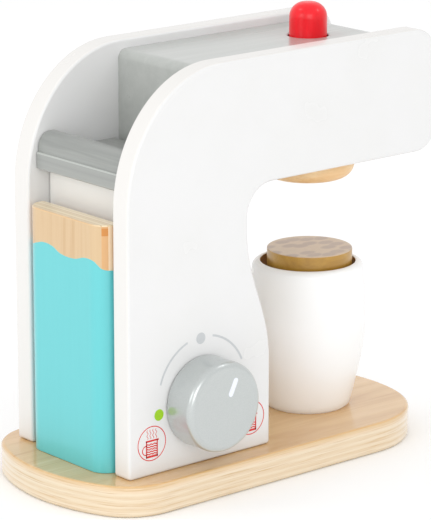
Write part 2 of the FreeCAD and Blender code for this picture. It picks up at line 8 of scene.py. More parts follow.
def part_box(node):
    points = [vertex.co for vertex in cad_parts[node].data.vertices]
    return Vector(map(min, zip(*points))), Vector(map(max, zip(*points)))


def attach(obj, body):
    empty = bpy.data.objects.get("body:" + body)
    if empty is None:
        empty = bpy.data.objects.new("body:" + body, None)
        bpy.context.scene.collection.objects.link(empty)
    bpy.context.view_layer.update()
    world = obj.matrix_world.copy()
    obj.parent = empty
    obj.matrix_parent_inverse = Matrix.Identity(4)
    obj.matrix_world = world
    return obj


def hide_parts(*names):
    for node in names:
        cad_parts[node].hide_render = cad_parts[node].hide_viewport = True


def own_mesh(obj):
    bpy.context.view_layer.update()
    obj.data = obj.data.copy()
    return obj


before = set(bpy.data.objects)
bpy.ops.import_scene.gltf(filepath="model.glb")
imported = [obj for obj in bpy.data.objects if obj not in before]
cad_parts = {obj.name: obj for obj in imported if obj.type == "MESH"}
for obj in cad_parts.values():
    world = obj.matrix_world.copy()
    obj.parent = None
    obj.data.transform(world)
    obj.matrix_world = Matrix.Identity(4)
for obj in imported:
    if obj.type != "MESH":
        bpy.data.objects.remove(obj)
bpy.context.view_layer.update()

# Toy coffee maker of painted and clear lacquered wood.
# Lengths below are in millimetres, drawn as the part's source draws them: X from the rear edge of
# the side boards, Y from the middle plane, Z from the top of the base.

MM = 0.001
board_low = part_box("knob_side_panel")[0]
DRAWING = Vector((board_low.x, 0, board_low.z))

# Side boards
INNER_FACE = 27.5
OUTER_FACE = 37.4
BOARD_HEIGHT = 165.8
FOOT_DEPTH = 75.5
ARM_REACH = 169.2
ARM_UNDERSIDE = 112.8
WAIST_X = 63.2
WAIST_HEIGHT = 94.4
SWELL_HEIGHT = 37.0
SWELL_EASE = 22.7
REAR_CURVE_DEPTH = 49.4
REAR_CURVE_HEIGHT = 55.5
ROUND_HANDLE = 0.5523
FOOT_ROUND, ARMPIT_ROUND = 1.6, 13.5
NOSE_LOW_ROUND, NOSE_TOP_ROUND = 10.0, 12.0
BOARD_RIM = 1.3

# Blocks between the side boards; the arm meets the column at the seam
BLOCK_SET_IN = 4.0
COLUMN_REAR = 11.0
SEAM = 117.2
ARM_TOP = 161.8
ARM_REAR, ARM_NOSE = 47.8, 165.2
ARM_NOSE_LOW_ROUND, ARM_NOSE_TOP_ROUND, ARM_REAR_ROUND = 6, 14, 4
COLUMN_GAP, ARM_GAP = 0.5, 0.02
COLUMN_RIM = 0.12
WELL_REAR, WELL_FRONT = 16.5, 42.5
WELL_HALF, WELL_CORNER = 20, 4
WELL_FLOOR = 77.2

# Lid, with a grip strip along its rear edge
LID_HALF = 27.2
LID_REAR, LID_NOSE = 4.2, 47.5
LID_LOW, LID_TOP = 117.5, 124.7
LID_LOW_ROUND, LID_TOP_ROUND, LID_NOSE_ROUND = 0.8, 0.9, 3.59
LID_RIM = 0.4
GRIP_REAR, GRIP_FRONT = LID_REAR + 0.9, LID_REAR + 12.8
GRIP_TOP = LID_TOP + 8.1
GRIP_REAR_ROUND, GRIP_FRONT_ROUND = 6, 5
GRIP_RIM = 0.6

# Water tank
TANK_REAR, TANK_DEPTH = -3.7, 9.8
TANK_HALF = 25.2
TANK_TOP = 104.2
TANK_REAR_ROUND, TANK_FRONT_ROUND = 8, 1.5
TANK_RIM = 0.4

# Brew head and button share one upright axis; the spring stands round the button's stem
HEAD_X = 129.2
HEAD_RADIUS, HEAD_ROUND = 20.4, 6.5
HEAD_LOW = 100.2
BUTTON_RADIUS, BUTTON_DOME = 8.1, 6.4
BUTTON_TOP = 176.0
STEM_RADIUS, STEM_LOW = 5, 139.5
COLLAR_RADIUS = 9.6
COLLAR_LOW, COLLAR_TOP = 153.5, 157.5
CHAMBER_RADIUS, CHAMBER_HEIGHT = 9.9, 40.6
HOLE_RADIUS, HOLE_MOUTH = 8.8, 9.4
SPRING_RADIUS, SPRING_WIRE = 7.2, 0.5
SPRING_TURNS, STEPS_A_TURN = 5, 32
SPRING_END_GAP = 0.05

# The loose cup stands off the axis, and the pad a little off the cup's middle
CUP_X, CUP_Y = 125.5, -5.0
CUP_FOOT, CUP_BELLY, CUP_MOUTH, CUP_BORE = 17.6, 25.45, 20.5, 16.5
CUP_TOP, CUP_SEAT, CUP_FLOOR = 64.6, 60.2, 7.0
PAD_X, PAD_Y = 126.1, -5.5
PAD_RADIUS, PAD_TOP = 18.4, 70.2

# Knob
KNOB_X, KNOB_Z = 38.2, 27.1
KNOB_RADIUS = 19
KNOB_BACK, KNOB_FRONT = -37.8, -52.8
KNOB_BACK_ROUND, KNOB_FRONT_ROUND = 0.6, 2.75
POINTER_TURN = 64.0
POINTER_START, POINTER_END, POINTER_HALF = 4.8, 13.0, 1.2

# Base board: each end is a flat arc between two round corners
BASE_REAR, BASE_FRONT = -18.8, 170.2
BASE_HALF = 47.8
BASE_THICK = 13.3
BASE_RIM = 1.6
FRONT_ARC, FRONT_CORNER = 70.0, 40.0
REAR_ARC, REAR_CORNER = 77.4, 24.4

# Screws, as radii of head and shank and the depth of the hole
BASE_SCREW, BASE_SCREWS_X = (4.05, 2.05, 13.8), (26.0, 56.0)
HEAD_SCREW, HEAD_SCREWS_Y = (3.25, 1.65, 17.5), (-13.0, 13.0)
SCREW_HEAD_SUNK = 0.4
HEAD_SCREW_FOOT = HEAD_LOW + 0.3

# Printed marks on the knob's side board: raised height of the ink, and the scale round the knob
INK = 0.04
SCALE_X, SCALE_Z, SCALE_RADIUS, SCALE_WIDTH = 38.67, 30.78, 23.14, 0.9
DOT_RADIUS = 2.4

# A cut reaches past the surface it opens by this much
OVERRUN = 0.5


def spot(x, y, z):
    """A place given in the drawing's millimetres, in the frame's metres."""
    return DRAWING + Vector((x, y, z)) * MM


# Shaping

def face_of(corners):
    """A flat face through the given corners, each rounded to its own radius."""
    bm = bmesh.new()
    verts = [bm.verts.new(place) for place, radius in corners]
    bm.faces.new(verts)
    for vert, (place, radius) in zip(verts, corners):
        if radius:
            bmesh.ops.bevel(bm, geom=[vert], offset=radius * MM, segments=10, profile=0.5,
                            affect="VERTICES", material=-1)
    bmesh.ops.remove_doubles(bm, verts=bm.verts, dist=0.001 * MM)
    return bm


def board(bm, thickness, rim=0, segments=4):
    """Gives a flat face its thickness, a vector in millimetres, and rounds its rims."""
    side = bmesh.ops.extrude_face_region(bm, geom=bm.faces[:])
    far = [v for v in side["geom"] if isinstance(v, bmesh.types.BMVert)]
    bmesh.ops.translate(bm, verts=far, vec=Vector(thickness) * MM)
    if rim:
        along = Vector(thickness).normalized()
        rims = [e for e in bm.edges
                if abs((e.verts[1].co - e.verts[0].co).dot(along)) < 0.01 * MM]
        bmesh.ops.bevel(bm, geom=rims, offset=rim * MM, segments=segments, profile=0.5,
                        affect="EDGES", material=-1, clamp_overlap=False)
    return bm


def turned(profile, centre, axis="Z", steps=128):
    """Turns a half profile of (radius, place along the axis, corner radius) about its axis."""
    along = Vector((0, 0, 1)) if axis == "Z" else Vector((0, 1, 0))
    bm = face_of([(centre + (Vector((1, 0, 0)) * r + along * h) * MM, corner) for r, h, corner in profile])
    bmesh.ops.delete(bm, geom=bm.faces[:], context="FACES_ONLY")
    on_axis = [e for e in bm.edges
               if all(abs(v.co.x - centre.x) < 0.001 * MM for v in e.verts)]
    bmesh.ops.delete(bm, geom=on_axis, context="EDGES")
    bmesh.ops.spin(bm, geom=bm.verts[:] + bm.edges[:], cent=centre, axis=along,
                   angle=math.tau, steps=steps, use_merge=True, use_duplicate=False)
    bmesh.ops.remove_doubles(bm, verts=bm.verts, dist=0.002 * MM)
    bmesh.ops.recalc_face_normals(bm, faces=bm.faces)
    return bm


def bend(start, handle_a, handle_b, end, count=24):
    """Corners along a smooth curve, with no rounding of their own."""
    return [(Vector(p), 0) for p in interpolate_bezier(start, handle_a, handle_b, end, count)]


def scene_object(bm, name):
    mesh = bpy.data.meshes.new(name)
    bm.to_mesh(mesh)
    bm.free()
    made = bpy.data.objects.new(name, mesh)
    bpy.context.scene.collection.objects.link(made)
    return made


def cut_out(bm, tool):
    """Takes one closed shape out of another."""
    work, bit = scene_object(bm, "work"), scene_object(tool, "bit")
    drill = work.modifiers.new("drill", "BOOLEAN")
    drill.operation, drill.solver, drill.object = "DIFFERENCE", "EXACT", bit
    ready = work.evaluated_get(bpy.context.evaluated_depsgraph_get())
    mesh = bpy.data.meshes.new_from_object(ready)
    result = bmesh.new()
    result.from_mesh(mesh)
    for used in (work, bit):
        bpy.data.objects.remove(used)
    bpy.data.meshes.remove(mesh)
    return result


def piece(bm, name, material, body, replaces=(), crease=38):
    """Finishes a shape as a piece of the toy that rides on a body of the frame."""
    bmesh.ops.remove_doubles(bm, verts=bm.verts, dist=0.002 * MM)
    bmesh.ops.recalc_face_normals(bm, faces=bm.faces)
    made = scene_object(bm, name)
    made.data.materials.append(material)
    made.data.shade_smooth()
    made.data.set_sharp_from_angle(angle=math.radians(crease))
    even = made.modifiers.new("even_shading", "WEIGHTED_NORMAL")
    even.keep_sharp = True
    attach(made, body)
    if replaces:
        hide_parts(*replaces)
    return made


# Finishes

def linear(hex_colour):
    """An sRGB hex colour as the linear values that a shader takes."""
    channels = [int(hex_colour[i:i + 2], 16) / 255 for i in (1, 3, 5)]
    return tuple(c / 12.92 if c <= 0.04045 else ((c + 0.055) / 1.055) ** 2.4 for c in channels) + (1.0,)


def add(tree, kind, inputs=None, stops=(), sharp=False, **settings):
    """Adds a node with its settings; inputs gives sockets a value, a hex colour, a node or its output."""
    made = tree.nodes.new(kind)
    for name, value in settings.items():
        setattr(made, name, value)
    for number, (place, colour) in enumerate(stops):
        elements = made.color_ramp.elements
        element = elements[number] if number < 2 else elements.new(place)
        element.position, element.color = place, linear(colour)
        made.color_ramp.interpolation = "CONSTANT" if sharp else "LINEAR"
    for name, value in (inputs or {}).items():
        socket = made.inputs[name] if isinstance(name, int) else next(
            s for s in made.inputs if s.enabled and s.name == name)
        if isinstance(value, bpy.types.Node):
            value = next(s for s in value.outputs if s.enabled)
        if isinstance(value, bpy.types.NodeSocket):
            tree.links.new(value, socket)
        else:
            socket.default_value = linear(value) if isinstance(value, str) else value
    return made


def new_finish(name):
    """A new material with its node tree and the place of each point on the toy."""
    material = bpy.data.materials.new(name)
    material.use_nodes = True
    material.node_tree.nodes.clear()
    place = add(material.node_tree, "ShaderNodeTexCoord").outputs["Object"]
    return material, material.node_tree, place


def grain(tree, place, length, width, along, detail=4.0, waver=0.0):
    """Streaks drawn out along the wood; length and width of a streak are in millimetres."""
    scale = [1000 / width] * 3
    scale["XYZ".index(along)] = 1000 / length
    drawn_out = add(tree, "ShaderNodeMapping", {"Vector": place, "Scale": scale})
    return add(tree, "ShaderNodeTexNoise", {"Vector": drawn_out, "Scale": 1.0, "Detail": detail,
                                            "Roughness": 0.6, "Distortion": waver})


def veneer(tree, place, along, light, middle, dark, pores):
    """Flat sawn light wood: a broad soft figure with fine darker pores in it."""
    broad = grain(tree, place, 150, 11.0, along, detail=3.0, waver=1.1)
    fine = grain(tree, place, 26, 0.7, along, detail=5.0, waver=0.2)
    figure = add(tree, "ShaderNodeValToRGB", {"Fac": broad},
                 stops=((0.30, light), (0.52, middle), (0.74, dark)))
    pore = add(tree, "ShaderNodeMapRange", {"Value": fine, "From Min": 0.45, "From Max": 0.80,
                                            "To Max": pores})
    tone = add(tree, "ShaderNodeMix", {"Factor": pore, "A": figure, "B": dark}, data_type="RGBA")
    return tone, fine


def satin_white_lacquer(name, colour, shade, edge=None, mouth=None):
    # White lacquer, sprayed and sanded: even and softly glossy, with a faint orange peel.
    material, tree, place = new_finish(name)
    mottle = add(tree, "ShaderNodeTexNoise", {"Vector": place, "Scale": 1000 / 28, "Detail": 3.0})
    spread = add(tree, "ShaderNodeMapRange", {"Value": mottle, "From Min": 0.35, "From Max": 0.75})
    tone = add(tree, "ShaderNodeMix", {"Factor": spread, "A": colour, "B": shade}, data_type="RGBA")
    if edge:
        # The cut edges of a side board are drawn a little warmer and creamier than its faces.
        across = add(tree, "ShaderNodeSeparateXYZ", {"Vector": place}).outputs["Y"]
        away = add(tree, "ShaderNodeMath", {0: across}, operation="ABSOLUTE")
        core = (OUTER_FACE - INNER_FACE) / 2 - 0.55
        inside = add(tree, "ShaderNodeMath", {0: away, 1: (INNER_FACE + OUTER_FACE) / 2 * MM, 2: core * MM},
                     operation="COMPARE")
        tone = add(tree, "ShaderNodeMix", {"Factor": inside, "A": tone, "B": edge}, data_type="RGBA")
    if mouth:
        # Within the bore, and on the seat and the wall above it, the cup is drawn a mid wood brown.
        centre = spot(CUP_X, CUP_Y, 0)
        aside = add(tree, "ShaderNodeMapping", {"Vector": place, "Location": (-centre.x, -centre.y, 0),
                                                "Scale": (1, 1, 0)})
        reach = add(tree, "ShaderNodeVectorMath", {0: aside}, operation="LENGTH").outputs["Value"]
        height = add(tree, "ShaderNodeSeparateXYZ", {"Vector": place}).outputs["Z"]
        in_bore = add(tree, "ShaderNodeMath", {0: reach, 1: (CUP_BORE + 0.1) * MM}, operation="LESS_THAN")
        in_seat = add(tree, "ShaderNodeMath", {0: reach, 1: (CUP_MOUTH + 0.05) * MM}, operation="LESS_THAN")
        at_seat = add(tree, "ShaderNodeMath", {0: height, 1: DRAWING.z + (CUP_SEAT - 0.1) * MM},
                      operation="GREATER_THAN")
        above = add(tree, "ShaderNodeMath", {0: in_seat, 1: at_seat}, operation="MULTIPLY")
        inside = add(tree, "ShaderNodeMath", {0: above, 1: in_bore}, operation="MAXIMUM")
        tone = add(tree, "ShaderNodeMix", {"Factor": inside, "A": tone, "B": mouth}, data_type="RGBA")
    # Orange peel is about 1.6 mm from hill to hill.
    peel = add(tree, "ShaderNodeTexNoise", {"Vector": place, "Scale": 1000 / 1.6, "Detail": 2.0})
    bump = add(tree, "ShaderNodeBump", {"Height": peel, "Strength": 0.25, "Distance": 0.02 * MM})
    gloss = add(tree, "ShaderNodeMapRange", {"Value": mottle, "To Min": 0.22, "To Max": 0.30})
    shader = add(tree, "ShaderNodeBsdfPrincipled", {"Base Color": tone, "Roughness": gloss, "IOR": 1.5,
                                                    "Normal": bump})
    add(tree, "ShaderNodeOutputMaterial", {"Surface": shader})
    return material


def grey_satin_paint(name, along, light, dark, relief, wear_and_highlight=None):
    # Grey paint brushed on solid wood: satin, with the grain standing just proud under it.
    material, tree, place = new_finish(name)
    fine = grain(tree, place, 45, 0.9, along, detail=5.0, waver=0.4)
    broad = grain(tree, place, 130, 5.0, along, detail=3.0, waver=0.8)
    spread = add(tree, "ShaderNodeMapRange", {"Value": broad, "From Min": 0.32, "From Max": 0.68})
    tone = add(tree, "ShaderNodeMix", {"Factor": spread, "A": light, "B": dark}, data_type="RGBA")
    line = add(tree, "ShaderNodeMapRange", {"Value": fine, "From Min": 0.50, "From Max": 0.85,
                                            "To Max": 0.5})
    lined = add(tree, "ShaderNodeMix", {"Factor": line, "A": tone, "B": dark}, data_type="RGBA")
    if wear_and_highlight:
        # Painted highlight: the paint is drawn lighter along the lid's upper rear edge, where the edge
        # catches the light.
        edge = spot(LID_REAR, 0, LID_TOP)
        beside = add(tree, "ShaderNodeMapping", {"Vector": place, "Location": (-edge.x, 0, -edge.z),
                                                 "Scale": (1, 0, 1)})
        reach = add(tree, "ShaderNodeVectorMath", {0: beside}, operation="LENGTH").outputs["Value"]
        edge_highlight = add(tree, "ShaderNodeMath", {0: reach, 1: 0.65 * MM}, operation="LESS_THAN")
        lined = add(tree, "ShaderNodeMix", {"Factor": edge_highlight, "A": lined, "B": wear_and_highlight}, data_type="RGBA")
    bump = add(tree, "ShaderNodeBump", {"Height": fine, "Strength": relief, "Distance": 0.05 * MM})
    gloss = add(tree, "ShaderNodeMapRange", {"Value": broad, "To Min": 0.24, "To Max": 0.36})
    shader = add(tree, "ShaderNodeBsdfPrincipled", {
        "Base Color": lined, "Roughness": gloss, "IOR": 1.5, "Coat Weight": 0.6, "Coat Roughness": 0.14,
        "Normal": bump})
    add(tree, "ShaderNodeOutputMaterial", {"Surface": shader})
    return material


def clear_lacquered_plywood(name):
    # Birch plywood under glossy clear lacquer: pale even face veneer, and at the edge nine soft bands,
    # cream along the grain and a little darker across it.
    material, tree, place = new_finish(name)
    face, fine = veneer(tree, place, "X", "#E5BE8B", "#DDB47B", "#CC9D62", 0.55)
    height = add(tree, "ShaderNodeSeparateXYZ", {"Vector": place}).outputs["Z"]
    # The bands wander up and down by about 0.3 mm.
    wander = grain(tree, place, 60, 30, "X", detail=2.0)
    sway = add(tree, "ShaderNodeMapRange", {"Value": wander, "To Min": -0.6 * MM, "To Max": 0.6 * MM})
    swayed = add(tree, "ShaderNodeMath", {0: height, 1: sway}, operation="ADD")
    level = add(tree, "ShaderNodeMapRange", {"Value": swayed, "From Max": BASE_THICK * MM})
    cream, cross = "#E7D6BC", "#DFC8A6"
    plies = add(tree, "ShaderNodeValToRGB", {"Fac": level}, stops=(
        (0.00, "#E0CEB0"), (0.06, "#DECAAA"), (0.155, cream), (0.26, cross), (0.35, cream), (0.455, cross),
        (0.55, cream), (0.645, cross), (0.75, cream), (0.84, "#E4CCAB"), (0.93, "#DDBF94")))
    # Thin darker streaks, flat in the board and about 22 mm long.
    cells = grain(tree, place, 0.45, 22, "Z", detail=4.0)
    fleck = add(tree, "ShaderNodeMapRange", {"Value": cells, "From Min": 0.52, "From Max": 0.76,
                                             "To Max": 0.85})
    cut_edge = add(tree, "ShaderNodeMix", {"Factor": fleck, "A": plies, "B": "#C49C68"}, data_type="RGBA")
    on_face = add(tree, "ShaderNodeMath", {0: height, 1: (BASE_THICK - 0.5) * MM}, operation="GREATER_THAN")
    tone = add(tree, "ShaderNodeMix", {"Factor": on_face, "A": cut_edge, "B": face}, data_type="RGBA")
    bump = add(tree, "ShaderNodeBump", {"Height": fine, "Strength": 0.15, "Distance": 0.03 * MM})
    gloss = add(tree, "ShaderNodeMapRange", {"Value": fine, "To Min": 0.10, "To Max": 0.20})
    shader = add(tree, "ShaderNodeBsdfPrincipled", {
        "Base Color": tone, "Roughness": gloss, "IOR": 1.5, "Coat Weight": 0.7, "Coat Roughness": 0.12,
        "Normal": bump})
    add(tree, "ShaderNodeOutputMaterial", {"Surface": shader})
    return material


def half_painted_plywood(name):
    # Five-ply block with satin turquoise paint up to a wavy line, bare wood under clear lacquer above.
    material, tree, place = new_finish(name)
    parts = add(tree, "ShaderNodeSeparateXYZ", {"Vector": place})
    across, depth, height = parts.outputs["Y"], parts.outputs["X"], parts.outputs["Z"]
    bare, fine = veneer(tree, place, "Z", "#D6BA92", "#D3B58C", "#C8A376", 0.35)
    # Ply joints at 2.2, 4.4, 6.0 and 7.8 mm from the rear face: an orange ply, then cream and tan.
    rear = DRAWING.x + TANK_REAR * MM
    level = add(tree, "ShaderNodeMapRange", {"Value": depth, "From Min": rear,
                                             "From Max": rear + TANK_DEPTH * MM})
    side_plies = add(tree, "ShaderNodeValToRGB", {"Fac": level}, sharp=True, stops=(
        (0.00, "#D3B58C"), (0.224, "#D8A872"), (0.449, "#EFD4B1"), (0.612, "#E0B185"), (0.796, "#EDD0AC")))
    # A small darker knot in the orange ply, near the top.
    knot = add(tree, "ShaderNodeMath", {0: height, 1: DRAWING.z + (TANK_TOP - 2.8) * MM, 2: 1.6 * MM},
               operation="COMPARE")
    orange = add(tree, "ShaderNodeValToRGB", {"Fac": level}, sharp=True, stops=(
        (0.00, "#000000"), (0.224, "#FFFFFF"), (0.449, "#000000")))
    knotted = add(tree, "ShaderNodeMath", {0: knot, 1: orange}, operation="MULTIPLY")
    side_wood = add(tree, "ShaderNodeMix", {"Factor": knotted, "A": side_plies, "B": "#CD8638"},
                    data_type="RGBA")
    behind = add(tree, "ShaderNodeMath", {0: level, 1: 0.10}, operation="LESS_THAN")
    sides = add(tree, "ShaderNodeMix", {"Factor": behind, "A": side_wood, "B": bare}, data_type="RGBA")
    # The sawn top shows all five plies as pale bands with thin tan joints.
    top_plies = add(tree, "ShaderNodeValToRGB", {"Fac": level}, stops=(
        (0.00, "#DDB98A"), (0.07, "#E6CBA2"), (0.19, "#EBD5B0"), (0.224, "#CDB185"),
        (0.26, "#F1DFBD"), (0.42, "#F1DFBD"), (0.449, "#D3BA8E"), (0.48, "#E9D4AE"), (0.58, "#E9D4AE"),
        (0.612, "#D0B588"), (0.645, "#F3E2C3"), (0.77, "#F3E2C3"), (0.796, "#D6BE94"), (0.83, "#F0E0C2")))
    on_top = add(tree, "ShaderNodeMath", {0: height, 1: DRAWING.z + (TANK_TOP - 0.5) * MM},
                 operation="GREATER_THAN")
    wood = add(tree, "ShaderNodeMix", {"Factor": on_top, "A": sides, "B": top_plies}, data_type="RGBA")
    # The wave has two crests, 28 mm apart and 2 to 3 mm over the trough between them.
    reach, low, high = 30.0, 80.0, 100.0
    part_across = add(tree, "ShaderNodeMapRange", {"Value": across, "From Min": -reach * MM,
                                                   "From Max": reach * MM})
    wave = add(tree, "ShaderNodeFloatCurve", {"Value": part_across})
    crests = [(-30.0, 85.4), (-25.3, 85.4), (-22.8, 86.2), (-21.4, 87.7), (-18.7, 89.5), (-15.3, 89.7),
              (-6.9, 87.8), (1.0, 88.1), (7.6, 90.4), (13.0, 90.7), (17.0, 89.7), (22.0, 88.3), (30.0, 88.4)]
    for number, (y, z) in enumerate(crests):
        points = wave.mapping.curves[0].points
        knee = points[number] if number < 2 else points.new(0.5, 0.5)
        knee.location = ((y + reach) / (2 * reach), (z - low) / (high - low))
    wave.mapping.update()
    line = add(tree, "ShaderNodeMapRange", {"Value": wave, "To Min": DRAWING.z + low * MM,
                                            "To Max": DRAWING.z + high * MM})
    painted = add(tree, "ShaderNodeMath", {0: height, 1: line}, operation="LESS_THAN")
    brush = grain(tree, place, 60, 2.4, "Z", waver=0.5)
    spread = add(tree, "ShaderNodeMapRange", {"Value": brush, "From Min": 0.3, "From Max": 0.75})
    paint = add(tree, "ShaderNodeMix", {"Factor": spread, "A": "#62C8CC", "B": "#60C6CA"}, data_type="RGBA")
    tone = add(tree, "ShaderNodeMix", {"Factor": painted, "A": wood, "B": paint}, data_type="RGBA")
    relief = add(tree, "ShaderNodeMix", {"Factor": painted, "A": fine, "B": brush})
    bump = add(tree, "ShaderNodeBump", {"Height": relief, "Strength": 0.12, "Distance": 0.03 * MM})
    gloss = add(tree, "ShaderNodeMapRange", {"Value": brush, "To Min": 0.26, "To Max": 0.36})
    shader = add(tree, "ShaderNodeBsdfPrincipled", {
        "Base Color": tone, "Roughness": gloss, "IOR": 1.5, "Coat Weight": 0.4, "Coat Roughness": 0.12,
        "Normal": bump})
    add(tree, "ShaderNodeOutputMaterial", {"Surface": shader})
    return material


def turned_beech(name, light, middle, dark):
    # Light hardwood, turned and clear lacquered: matt, with the grain across the disc.
    material, tree, place = new_finish(name)
    tone, fine = veneer(tree, place, "X", light, middle, dark, 0.45)
    bump = add(tree, "ShaderNodeBump", {"Height": fine, "Strength": 0.3, "Distance": 0.04 * MM})
    gloss = add(tree, "ShaderNodeMapRange", {"Value": fine, "To Min": 0.38, "To Max": 0.52})
    shader = add(tree, "ShaderNodeBsdfPrincipled", {"Base Color": tone, "Roughness": gloss, "IOR": 1.5,
                                                    "Normal": bump})
    add(tree, "ShaderNodeOutputMaterial", {"Surface": shader})
    return material


def stained_pad_wood(name):
    # Light wood stained golden brown; its top is printed dull brown with darker bean-like flecks.
    material, tree, place = new_finish(name)
    side, fine = veneer(tree, place, "X", "#C39843", "#B48935", "#A0752A", 0.45)
    height = add(tree, "ShaderNodeSeparateXYZ", {"Vector": place}).outputs["Z"]
    # Flecks lie about 10 mm apart along the pad and 6.5 mm apart across it.
    laid = add(tree, "ShaderNodeMapping", {"Vector": place, "Scale": (1000 / 10, 1000 / 6.5, 1)})
    beans = add(tree, "ShaderNodeTexVoronoi", {"Vector": laid, "Scale": 1.0, "Randomness": 0.85},
                voronoi_dimensions="2D")
    fleck = add(tree, "ShaderNodeMapRange", {"Value": beans, "From Min": 0.46, "From Max": 0.30,
                                             "To Max": 0.75})
    flecked = add(tree, "ShaderNodeMix", {"Factor": fleck, "A": "#D0B99D", "B": "#AE9686"}, data_type="RGBA")
    cloud = add(tree, "ShaderNodeTexNoise", {"Vector": place, "Scale": 1000 / 2.2, "Detail": 3.0})
    wear_and_highlight = add(tree, "ShaderNodeMapRange", {"Value": cloud, "From Min": 0.45, "From Max": 0.75,
                                            "To Max": 0.4})
    top_tone = add(tree, "ShaderNodeMix", {"Factor": wear_and_highlight, "A": flecked, "B": "#C4A98A"}, data_type="RGBA")
    on_top = add(tree, "ShaderNodeMath", {0: height, 1: DRAWING.z + (PAD_TOP - 0.25) * MM},
                 operation="GREATER_THAN")
    tone = add(tree, "ShaderNodeMix", {"Factor": on_top, "A": side, "B": top_tone}, data_type="RGBA")
    bump = add(tree, "ShaderNodeBump", {"Height": fine, "Strength": 0.3, "Distance": 0.04 * MM})
    gloss = add(tree, "ShaderNodeMapRange", {"Value": fine, "To Min": 0.34, "To Max": 0.48})
    shader = add(tree, "ShaderNodeBsdfPrincipled", {
        "Base Color": tone, "Roughness": gloss, "IOR": 1.5, "Coat Weight": 0.4, "Coat Roughness": 0.2,
        "Normal": bump})
    add(tree, "ShaderNodeOutputMaterial", {"Surface": shader})
    return material


def red_gloss_lacquer(name):
    # Gloss lacquer dipped over a turned peg: deep and wet, with the wood's grain just showing in it.
    material, tree, place = new_finish(name)
    rings = grain(tree, place, 14, 2.4, "Z", detail=2.0)
    spread = add(tree, "ShaderNodeMapRange", {"Value": rings, "From Min": 0.3, "From Max": 0.75})
    tone = add(tree, "ShaderNodeMix", {"Factor": spread, "A": "#F8071E", "B": "#E60418"}, data_type="RGBA")
    bump = add(tree, "ShaderNodeBump", {"Height": rings, "Strength": 0.15, "Distance": 0.04 * MM})
    shader = add(tree, "ShaderNodeBsdfPrincipled", {
        "Base Color": tone, "Roughness": 0.30, "IOR": 1.42, "Coat Weight": 0.2, "Coat Roughness": 0.12,
        "Normal": bump})
    add(tree, "ShaderNodeOutputMaterial", {"Surface": shader})
    return material


def silver_grey_paint(name):
    # Silver grey paint, sprayed: fine flakes give a soft metallic sheen.
    material, tree, place = new_finish(name)
    # Real flakes are under 0.1 mm; they are drawn at 0.35 mm so that they show.
    flakes = add(tree, "ShaderNodeTexNoise", {"Vector": place, "Scale": 1000 / 0.35, "Detail": 2.0})
    spread = add(tree, "ShaderNodeMapRange", {"Value": flakes, "From Min": 0.35, "From Max": 0.7})
    tone = add(tree, "ShaderNodeMix", {"Factor": spread, "A": "#BDC2C1", "B": "#C5C9C8"}, data_type="RGBA")
    bump = add(tree, "ShaderNodeBump", {"Height": flakes, "Strength": 0.12, "Distance": 0.01 * MM})
    shader = add(tree, "ShaderNodeBsdfPrincipled", {
        "Base Color": tone, "Metallic": 0.6, "Roughness": 0.28, "Coat Weight": 0.4, "Coat Roughness": 0.1,
        "Normal": bump})
    add(tree, "ShaderNodeOutputMaterial", {"Surface": shader})
    return material


def screen_ink(name, colour, shade):
    # Screen printing ink: thin, even and a little duller than the lacquer under it.
    material, tree, place = new_finish(name)
    grit = add(tree, "ShaderNodeTexNoise", {"Vector": place, "Scale": 1000 / 0.6, "Detail": 2.0})
    spread = add(tree, "ShaderNodeMapRange", {"Value": grit, "From Min": 0.35, "From Max": 0.7})
    tone = add(tree, "ShaderNodeMix", {"Factor": spread, "A": colour, "B": shade}, data_type="RGBA")
    bump = add(tree, "ShaderNodeBump", {"Height": grit, "Strength": 0.1, "Distance": 0.005 * MM})
    shader = add(tree, "ShaderNodeBsdfPrincipled", {"Base Color": tone, "Roughness": 0.45, "Normal": bump})
    add(tree, "ShaderNodeOutputMaterial", {"Surface": shader})
    return material


def zinc_plated_steel(name):
    # Bright zinc on steel wire and screws: shiny, with fine drawn lines.
    material, tree, place = new_finish(name)
    drawn = grain(tree, place, 6, 0.3, "Z", detail=3.0)
    tone = add(tree, "ShaderNodeMix", {"Factor": drawn, "A": "#B9BCC0", "B": "#CDD0D3"}, data_type="RGBA")
    bump = add(tree, "ShaderNodeBump", {"Height": drawn, "Strength": 0.2, "Distance": 0.01 * MM})
    shader = add(tree, "ShaderNodeBsdfPrincipled", {"Base Color": tone, "Metallic": 1.0, "Roughness": 0.32,
                                                    "Normal": bump})
    add(tree, "ShaderNodeOutputMaterial", {"Surface": shader})
    return material


def pressed_felt(name):
    # Thin grey felt: matt, with short tangled fibres.
    material, tree, place = new_finish(name)
    fibres = add(tree, "ShaderNodeTexNoise", {"Vector": place, "Scale": 1000 / 0.5, "Detail": 6.0,
                                              "Distortion": 1.5})
    tone = add(tree, "ShaderNodeMix", {"Factor": fibres, "A": "#5E6060", "B": "#8B8D8C"}, data_type="RGBA")
    bump = add(tree, "ShaderNodeBump", {"Height": fibres, "Strength": 0.6, "Distance": 0.1 * MM})
    shader = add(tree, "ShaderNodeBsdfPrincipled", {"Base Color": tone, "Roughness": 0.95, "Normal": bump})
    add(tree, "ShaderNodeOutputMaterial", {"Surface": shader})
    return material


def paper_floor(name):
    # Matt white studio paper: near white, with no shine.
    material, tree, place = new_finish(name)
    pulp = add(tree, "ShaderNodeTexNoise", {"Vector": place, "Scale": 6.0, "Detail": 2.0})
    tone = add(tree, "ShaderNodeMix", {"Factor": pulp, "A": "#FDFDFD", "B": "#FFFFFF"}, data_type="RGBA")
    shader = add(tree, "ShaderNodeBsdfPrincipled", {"Base Color": tone, "Roughness": 0.9,
                                                    "Specular IOR Level": 0.1})
    add(tree, "ShaderNodeOutputMaterial", {"Surface": shader})
    return material


